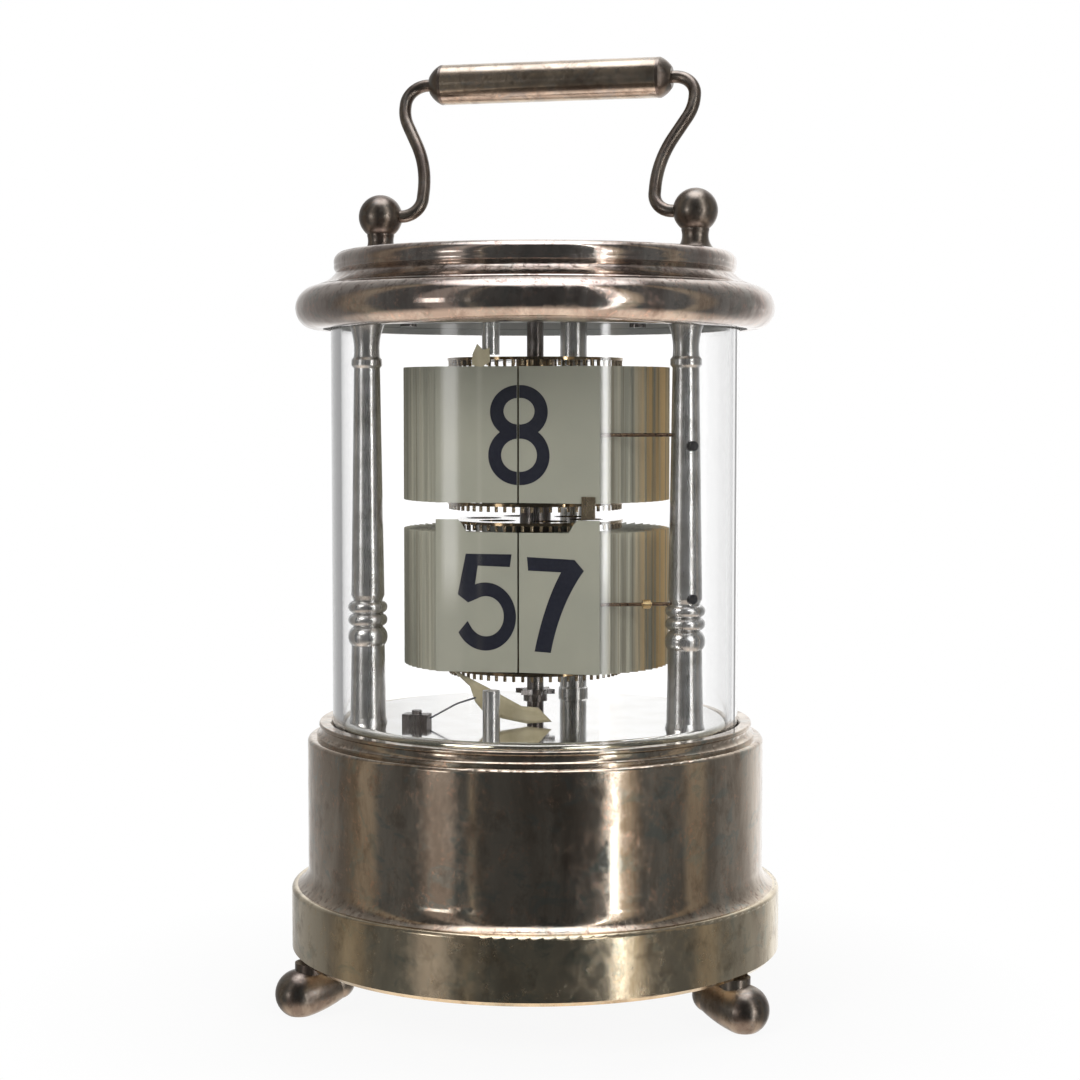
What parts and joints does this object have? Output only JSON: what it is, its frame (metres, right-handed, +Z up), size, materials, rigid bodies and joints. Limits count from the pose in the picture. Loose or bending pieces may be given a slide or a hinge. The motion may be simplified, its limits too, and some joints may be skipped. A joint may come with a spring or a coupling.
{
  "type": "leaf clock",
  "caption": "Leaf clock in a glass cylinder on a round footed case: an hour drum over a minute drum, each with hinged number leaves, and a bail handle on the cap.",
  "frame": {"origin": "on the clock's vertical axis, at the surface it stands on", "axes": "+Z up; +X to the right and -Y toward the reader when the numbers are read from the front"},
  "size_m": [0.0831, 0.0858, 0.1579],
  "materials": {
    "aged_silver": "old silver plate on brass, tarnished brown and olive",
    "olive_brass": "worn plate with the brass showing",
    "dark_bronze": "dark brown patina",
    "grip_plate": "brushed, worn silver plate",
    "clear_glass": "polished clear glass",
    "black_gasket": "matte",
    "nickel": "nickel plated, polished",
    "steel": "bright steel",
    "spring_steel": "blued steel",
    "brass": "lacquered brass",
    "leaf_card": "thin celluloid sheet, yellowed"
  },
  "bodies": {
    "case": {"back_plate": "brass", "balance_cock": "brass", "base_drum": "aged_silver", "base_flange": "olive_brass", "bottom_cover": "olive_brass", "cap_disc": "aged_silver", "cap_gasket": "black_gasket", "cap_rim": "aged_silver", "click": "steel", "cover_screws": "steel", "feet": "dark_bronze", "foot_screws": "steel", "frame_screws": "steel", "glass_cylinder": "clear_glass", "hairspring": "spring_steel", "handle_post_nuts": "dark_bronze", "handle_posts": "dark_bronze", "hour_turned_leaves": "leaf_card", "hour_waiting_leaves": "leaf_card", "leaf_fingers": "steel", "leaf_posts": "nickel", "lower_plate": "aged_silver", "minute_turned_leaves": "leaf_card", "minute_waiting_leaves": "leaf_card", "movement_pillars": "brass", "pillar_left": "nickel", "pillar_right": "nickel", "platform_case": "brass", "rear_column": "nickel", "seat_ring": "aged_silver", "spring_block": "nickel", "trip_spring": "spring_steel", "upper_plate": "aged_silver"},
    "bail": {"bail_arms": "dark_bronze", "handle_grip": "grip_plate", "grip_caps": "grip_plate"},
    "minute_arbor": {"spindle": "steel", "minute_drum": "brass", "minute_pegs": "brass", "drum_collar": "steel", "star_wheel": "steel", "centre_wheel": "brass", "setting_wheel": "brass", "cannon_pinion": "brass"},
    "hour_turner": {"hour_drum": "brass", "hour_pegs": "brass", "hour_pipe": "steel"},
    "minute_wheel_turner": {"minute_wheel": "brass"},
    "barrel_turner": {"barrel": "brass", "mainspring": "spring_steel"},
    "third_turner": {"third_wheel": "brass"},
    "fourth_turner": {"fourth_pinion": "steel"},
    "setting_turner": {"setting_knob": "steel"},
    "winder": {"barrel_arbor": "steel", "winding_key": "steel"},
    "minute_leaf": {"minute_flip_leaf": "leaf_card"},
    "hour_leaf": {"hour_flip_leaf": "leaf_card", "hour_tongue": "brass"},
    "balance": {"balance_wheel": "brass"},
    "regulator_lever": {"regulator": "steel"}
  },
  "joints": [
    {"name": "minute_drum_turn", "type": "hinge", "parent": "case", "child": "minute_arbor", "pos_m": [0, 0, 0], "axis": [0, 0, -1], "continuous": true},
    {"name": "hour_drum_turn", "type": "hinge", "parent": "case", "child": "hour_turner", "pos_m": [0, 0, 0], "axis": [0, 0, -1], "continuous": true},
    {"name": "minute_wheel_turn", "type": "hinge", "parent": "case", "child": "minute_wheel_turner", "pos_m": [0.00688, -0.00482, 0], "axis": [0, 0, -1], "continuous": true},
    {"name": "barrel_turn", "type": "hinge", "parent": "case", "child": "barrel_turner", "pos_m": [-0.014, 0, 0], "axis": [0, 0, -1], "continuous": true},
    {"name": "third_wheel_turn", "type": "hinge", "parent": "case", "child": "third_turner", "pos_m": [0.00648, -0.00772, 0], "axis": [0, 0, -1], "continuous": true},
    {"name": "fourth_pinion_turn", "type": "hinge", "parent": "case", "child": "fourth_turner", "pos_m": [0.01447, -0.00481, 0], "axis": [0, 0, -1], "continuous": true},
    {"name": "setting_turn", "type": "hinge", "parent": "case", "child": "setting_turner", "pos_m": [0, 0.009, 0], "axis": [0, 0, -1], "continuous": true},
    {"name": "winding_turn", "type": "hinge", "parent": "case", "child": "winder", "pos_m": [-0.014, 0, 0], "axis": [0, 0, -1], "continuous": true},
    {"name": "bail_swing", "type": "hinge", "parent": "case", "child": "bail", "pos_m": [0, 0, 0.1313], "axis": [-1, 0, 0], "range_deg": [-121, 73]},
    {"name": "minute_leaf_flip", "type": "hinge", "parent": "case", "child": "minute_leaf", "pos_m": [0.00149, -0.01417, 0], "axis": [0, 0, -1], "range_deg": [0, 165]},
    {"name": "hour_leaf_flip", "type": "hinge", "parent": "case", "child": "hour_leaf", "pos_m": [0.00149, -0.01417, 0], "axis": [0, 0, -1], "range_deg": [0, 165]},
    {"name": "balance_swing", "type": "hinge", "parent": "case", "child": "balance", "pos_m": [0.01747, 0.00238, 0], "axis": [0, 0, -1], "range_deg": [-130, 130], "stiffness_Nm_per_rad": 0.0000013},
    {"name": "regulator_shift", "type": "hinge", "parent": "case", "child": "regulator_lever", "pos_m": [0.01747, 0.00238, 0], "axis": [0, 0, -1], "range_deg": [-20, 20]}
  ],
  "couplings": [
    {"joint": "hour_drum_turn", "follows": "minute_drum_turn", "ratio": 0.083333},
    {"joint": "minute_wheel_turn", "follows": "minute_drum_turn", "ratio": -0.33333},
    {"joint": "barrel_turn", "follows": "minute_drum_turn", "ratio": -0.16667},
    {"joint": "third_wheel_turn", "follows": "minute_drum_turn", "ratio": -8},
    {"joint": "fourth_pinion_turn", "follows": "minute_drum_turn", "ratio": 60},
    {"joint": "setting_turn", "follows": "minute_drum_turn", "ratio": -1}
  ]
}
